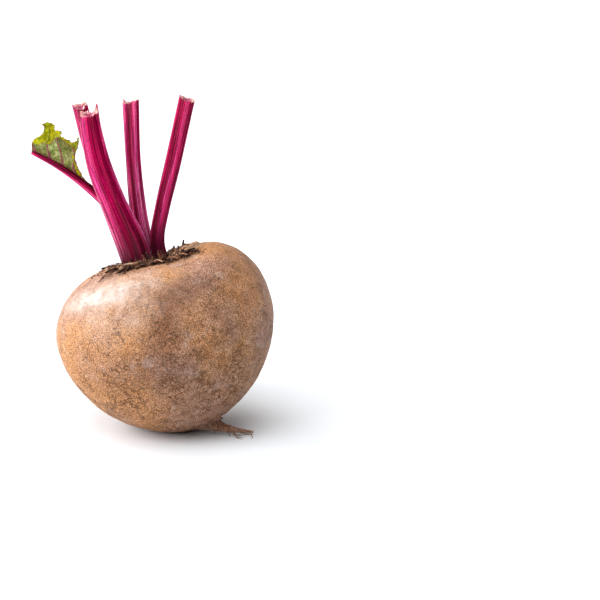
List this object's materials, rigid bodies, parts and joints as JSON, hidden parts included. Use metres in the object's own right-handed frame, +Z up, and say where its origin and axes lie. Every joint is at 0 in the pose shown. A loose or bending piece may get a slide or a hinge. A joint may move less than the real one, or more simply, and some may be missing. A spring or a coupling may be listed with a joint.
{
  "type": "beetroot",
  "caption": "Whole trimmed table beetroot: a swollen root with a dry flaky crown, cut red leaf stalks and a thin stalk with a torn green leaf.",
  "frame": {"origin": "middle of the small flat spot under the swollen root, on which the beetroot rests", "axes": "+Z up, +X to the right and +Y away from the side with the torn leaf on its left; the crown leans to -X and +Y"},
  "size_m": [0.099, 0.0876, 0.1292],
  "materials": {
    "skin": "matte",
    "crown": "matte",
    "stalk": "satin",
    "leaf": "satin"
  },
  "bodies": {
    "root": {"swollen_root": "skin", "dry_crown": "crown", "stalk_front": "stalk", "stalk_back": "stalk", "stalk_middle": "stalk", "stalk_right": "stalk", "leaf_stalk": "stalk", "torn_leaf": "leaf"}
  },
  "joints": []
}
